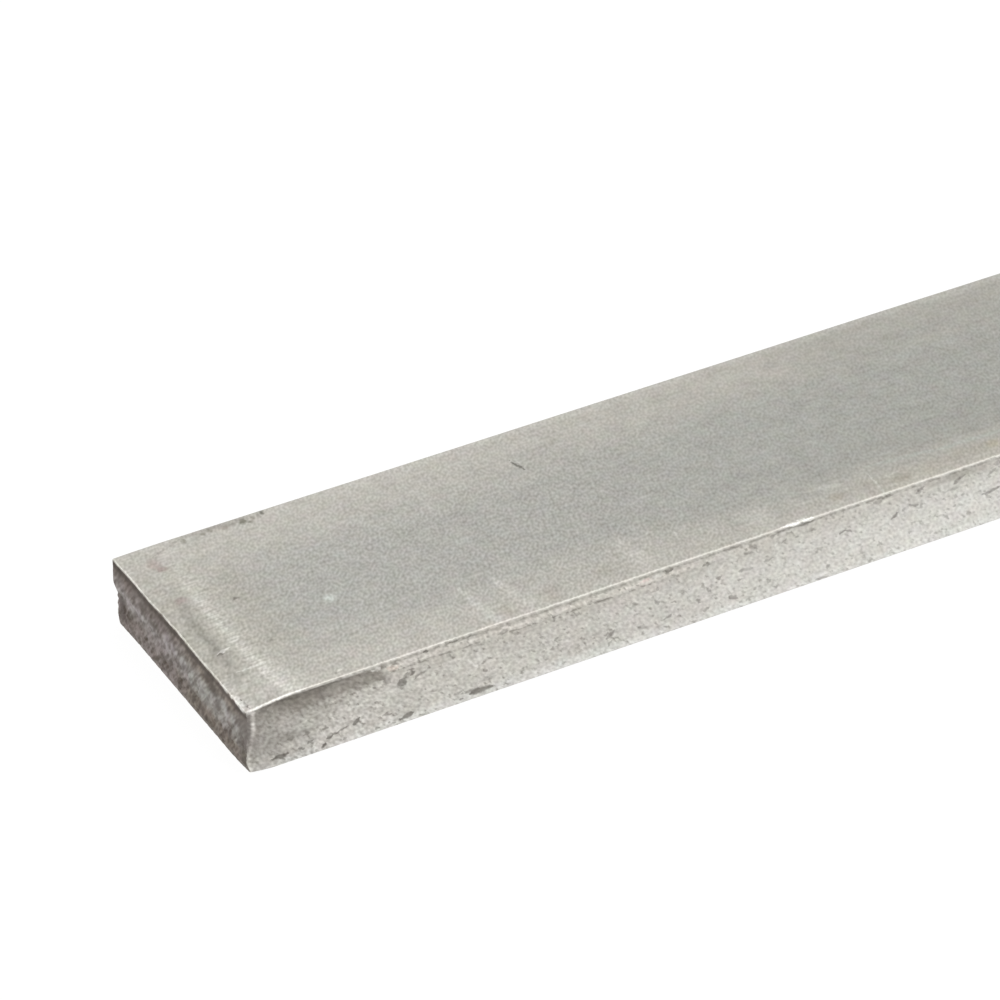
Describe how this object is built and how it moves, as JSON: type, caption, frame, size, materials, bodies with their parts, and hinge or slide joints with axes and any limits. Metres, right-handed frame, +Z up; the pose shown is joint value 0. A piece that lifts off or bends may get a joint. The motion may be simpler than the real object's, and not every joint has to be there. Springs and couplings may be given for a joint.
{
  "type": "steel flat bar",
  "caption": "Straight mill-finish flat bar of solid rectangular section with lightly rounded corners and shear-cut ends, for clamping, drilling, bolting or welding.",
  "frame": {"origin": "centre of the lower wide face, which the bar lies on", "axes": "+X along the bar's length, away from the end whose roll is on the upper face; +Y across the width; +Z up through the thickness"},
  "size_m": [0.3048, 0.0318, 0.0095],
  "materials": {
    "steel": "dull mill finish: satin upper and lower faces, speckled narrow sides, dark torn metal at the sheared ends"
  },
  "bodies": {
    "root": {"flat_bar": "steel"}
  },
  "joints": []
}
